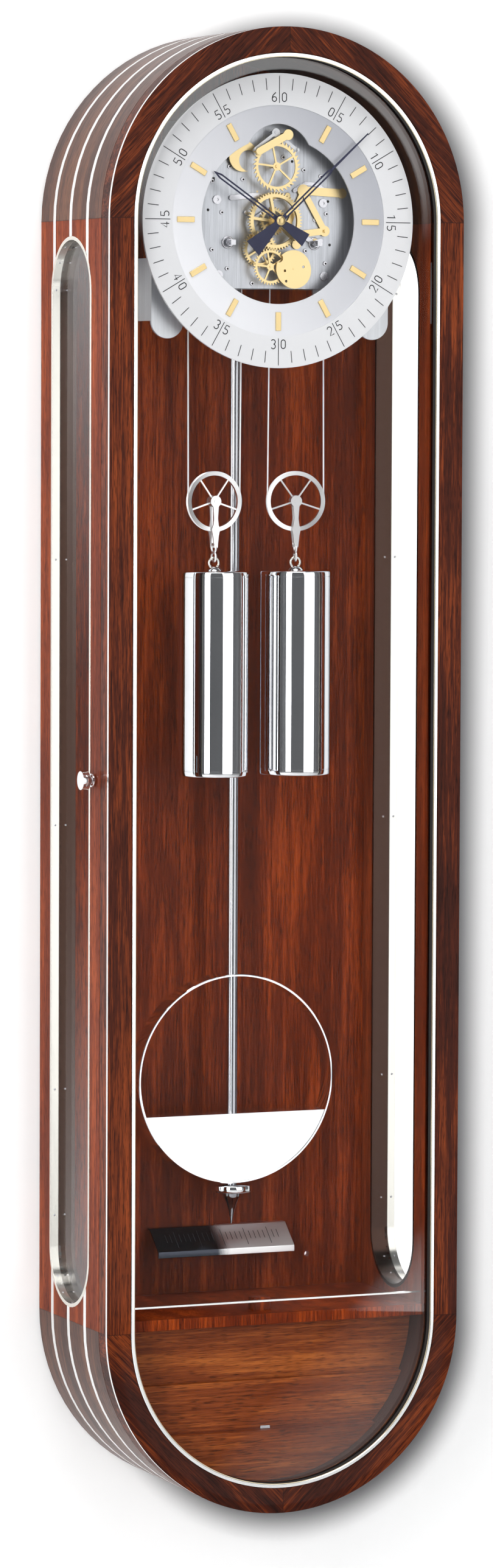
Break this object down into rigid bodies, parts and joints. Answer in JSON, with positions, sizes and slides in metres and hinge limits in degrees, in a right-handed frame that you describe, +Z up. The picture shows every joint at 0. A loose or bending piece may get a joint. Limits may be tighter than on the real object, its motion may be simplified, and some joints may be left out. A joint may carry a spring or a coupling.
{
  "type": "weight-driven wall clock",
  "caption": "Tall wall clock with a round-ended glazed wooden case, open dial, two cable-hung weights on pulleys and a ring-bob pendulum.",
  "frame": {"origin": "centre of the round hanging hole in the back plane, where the wall hook goes in", "axes": "+X right and +Z up as seen from the front; the dial faces -Y and the wall is on +Y"},
  "size_m": [0.3898, 0.1834, 1.44],
  "materials": {
    "front_wood": "high-gloss lacquered mahogany",
    "inner_wood": "satin mahogany veneer",
    "brushed_steel": "fine brushed",
    "screw_steel": "polished",
    "nickel_trim": "satin nickel plate",
    "pane": "clear",
    "white_metal": "polished white metal",
    "chrome": "mirror plated",
    "aluminium": "satin",
    "gold": "gold plated, satin",
    "dial_grey": "satin grained",
    "dial_white": "satin silver",
    "blued": "dark blue satin",
    "rod_steel": "grey satin",
    "cable_steel": "stranded wire"
  },
  "bodies": {
    "case": {"case_shell": "front_wood", "back_panel": "inner_wood", "hanger_plate": "brushed_steel", "shelf": "inner_wood", "lower_panel": "inner_wood", "panel_catches": "brushed_steel", "window_trims": "nickel_trim", "window_glasses": "pane", "white_inlays": "white_metal", "beat_scale": "chrome", "case_hinge_leaves": "chrome", "movement_brackets": "aluminium", "front_plate": "brushed_steel", "back_plate": "brushed_steel", "pillars": "screw_steel", "front_cocks": "gold", "back_cock": "brushed_steel", "bell": "gold", "dial_plate": "dial_grey", "dial_ring": "dial_white", "hour_batons": "gold"},
    "door": {"door_frame": "front_wood", "door_bezel": "white_metal", "door_strip": "white_metal", "door_glass": "pane", "glass_retainer": "brushed_steel", "door_hinge_leaves": "chrome"},
    "knob": {"latch_knob": "chrome"},
    "pendulum": {"suspension_spring": "brushed_steel", "pendulum_rod": "rod_steel", "bob_ring": "chrome", "bob_disc": "chrome", "rating_nut": "chrome"},
    "anchor": {"pallet_anchor": "brushed_steel"},
    "left_weight": {"weight_left": "chrome", "stirrup_left": "chrome", "cable_left": "cable_steel"},
    "right_weight": {"weight_right": "chrome", "stirrup_right": "chrome", "cable_right": "cable_steel"},
    "left_pulley": {"pulley_left": "chrome"},
    "right_pulley": {"pulley_right": "chrome"},
    "left_barrel": {"barrel_left": "gold"},
    "right_barrel": {"barrel_right": "gold"},
    "going_great": {"great_wheel_left": "gold"},
    "going_center": {"center_wheel": "gold"},
    "going_third": {"third_wheel": "gold"},
    "going_escape": {"escape_wheel": "gold"},
    "strike_great": {"great_wheel_right": "gold"},
    "strike_pin": {"pin_wheel": "gold"},
    "hammer": {"strike_hammer": "gold"},
    "minute": {"minute_hand": "blued", "hand_nut": "gold", "cannon_wheel": "gold"},
    "minute_idler": {"minute_wheel": "gold"},
    "hour": {"hour_hand": "blued", "hour_wheel": "gold"},
    "lower": {"lower_wheel": "gold"},
    "cam": {"cam_disc": "gold"},
    "rack": {"strike_rack": "gold"}
  },
  "joints": [
    {"name": "door_hinge", "type": "hinge", "parent": "case", "child": "door", "pos_m": [0.188, -0.16075, -0.605], "axis": [0, 0, 1], "range_deg": [0, 110]},
    {"name": "latch_turn", "type": "hinge", "parent": "case", "child": "knob", "pos_m": [-0.185, -0.145, -0.6075], "axis": [-1, 0, 0], "range_deg": [0, 90]},
    {"name": "pendulum_swing", "type": "hinge", "parent": "case", "child": "pendulum", "pos_m": [0, -0.049, 0.015], "axis": [0, -1, 0], "range_deg": [-2.5, 2.5]},
    {"name": "anchor_rock", "type": "hinge", "parent": "case", "child": "anchor", "pos_m": [0, -0.1, 0.015], "axis": [0, -1, 0], "range_deg": [-2.5, 2.5]},
    {"name": "left_weight_drop", "type": "slide", "parent": "case", "child": "left_weight", "axis": [0, 0, 1], "range_m": [-0.4, 0.12], "deforming": ["cable_left"]},
    {"name": "right_weight_drop", "type": "slide", "parent": "case", "child": "right_weight", "axis": [0, 0, 1], "range_m": [-0.4, 0.12], "deforming": ["cable_right"]},
    {"name": "left_pulley_spin", "type": "hinge", "parent": "left_weight", "child": "left_pulley", "pos_m": [-0.0432, -0.101, -0.3413], "axis": [0.0872, -0.9962, 0], "range_deg": [-250, 820]},
    {"name": "right_pulley_spin", "type": "hinge", "parent": "right_weight", "child": "right_pulley", "pos_m": [0.0432, -0.101, -0.3413], "axis": [-0.1736, -0.9848, 0], "range_deg": [-820, 250]},
    {"name": "left_barrel_wind", "type": "hinge", "parent": "case", "child": "left_barrel", "pos_m": [-0.0455, -0.11, -0.091], "axis": [0, -1, 0], "range_deg": [-540, 1780]},
    {"name": "right_barrel_wind", "type": "hinge", "parent": "case", "child": "right_barrel", "pos_m": [0.0455, -0.11, -0.091], "axis": [0, -1, 0], "range_deg": [-1780, 540]},
    {"name": "escape_spin", "type": "hinge", "parent": "case", "child": "going_escape", "pos_m": [0, -0.12, -0.0176], "axis": [0, -1, 0], "continuous": true},
    {"name": "third_spin", "type": "hinge", "parent": "case", "child": "going_third", "pos_m": [-0.01457, -0.11, -0.04151], "axis": [0, -1, 0], "continuous": true},
    {"name": "center_spin", "type": "hinge", "parent": "case", "child": "going_center", "pos_m": [0, -0.11, -0.07], "axis": [0, -1, 0], "continuous": true},
    {"name": "going_great_spin", "type": "hinge", "parent": "case", "child": "going_great", "pos_m": [-0.0455, -0.09, -0.091], "axis": [0, -1, 0], "continuous": true},
    {"name": "pin_wheel_spin", "type": "hinge", "parent": "case", "child": "strike_pin", "pos_m": [0.05847, -0.13, -0.0426], "axis": [0, -1, 0], "continuous": true},
    {"name": "strike_great_spin", "type": "hinge", "parent": "case", "child": "strike_great", "pos_m": [0.0455, -0.094, -0.091], "axis": [0, -1, 0], "continuous": true},
    {"name": "hammer_swing", "type": "hinge", "parent": "case", "child": "hammer", "pos_m": [0.084, -0.08, -0.022], "axis": [0, -1, 0], "range_deg": [-14, 0], "stiffness_Nm_per_rad": 0.1, "springref_deg": 17.19},
    {"name": "minute_spin", "type": "hinge", "parent": "case", "child": "minute", "pos_m": [0, -0.15, -0.07], "axis": [0, -1, 0], "continuous": true},
    {"name": "minute_idler_spin", "type": "hinge", "parent": "case", "child": "minute_idler", "pos_m": [-0.0135, -0.142, -0.09701], "axis": [0, -1, 0], "continuous": true},
    {"name": "hour_spin", "type": "hinge", "parent": "case", "child": "hour", "pos_m": [0, -0.15, -0.07], "axis": [0, -1, 0], "continuous": true},
    {"name": "lower_spin", "type": "hinge", "parent": "case", "child": "lower", "pos_m": [-0.00503, -0.148, -0.11403], "axis": [0, -1, 0], "continuous": true},
    {"name": "cam_spin", "type": "hinge", "parent": "case", "child": "cam", "pos_m": [0.01779, -0.15, -0.11582], "axis": [0, -1, 0], "continuous": true},
    {"name": "rack_lift", "type": "hinge", "parent": "case", "child": "rack", "pos_m": [0.0557, -0.14, -0.0787], "axis": [0, -1, 0], "range_deg": [-5, 0]}
  ],
  "couplings": [
    {"joint": "anchor_rock", "follows": "pendulum_swing", "ratio": 1},
    {"joint": "left_pulley_spin", "follows": "left_weight_drop", "rad_per_m": -35.398},
    {"joint": "right_pulley_spin", "follows": "right_weight_drop", "rad_per_m": 35.398},
    {"joint": "left_barrel_wind", "follows": "left_weight_drop", "rad_per_m": -77.071},
    {"joint": "right_barrel_wind", "follows": "right_weight_drop", "rad_per_m": 77.071},
    {"joint": "third_spin", "follows": "escape_spin", "ratio": -0.16667},
    {"joint": "center_spin", "follows": "escape_spin", "ratio": 0.02381},
    {"joint": "going_great_spin", "follows": "escape_spin", "ratio": -0.0037415},
    {"joint": "strike_great_spin", "follows": "pin_wheel_spin", "ratio": -0.15714},
    {"joint": "minute_idler_spin", "follows": "minute_spin", "ratio": -0.77778},
    {"joint": "hour_spin", "follows": "minute_spin", "ratio": 0.083333},
    {"joint": "lower_spin", "follows": "minute_spin", "ratio": -0.13333},
    {"joint": "cam_spin", "follows": "minute_spin", "ratio": 0.38889}
  ]
}
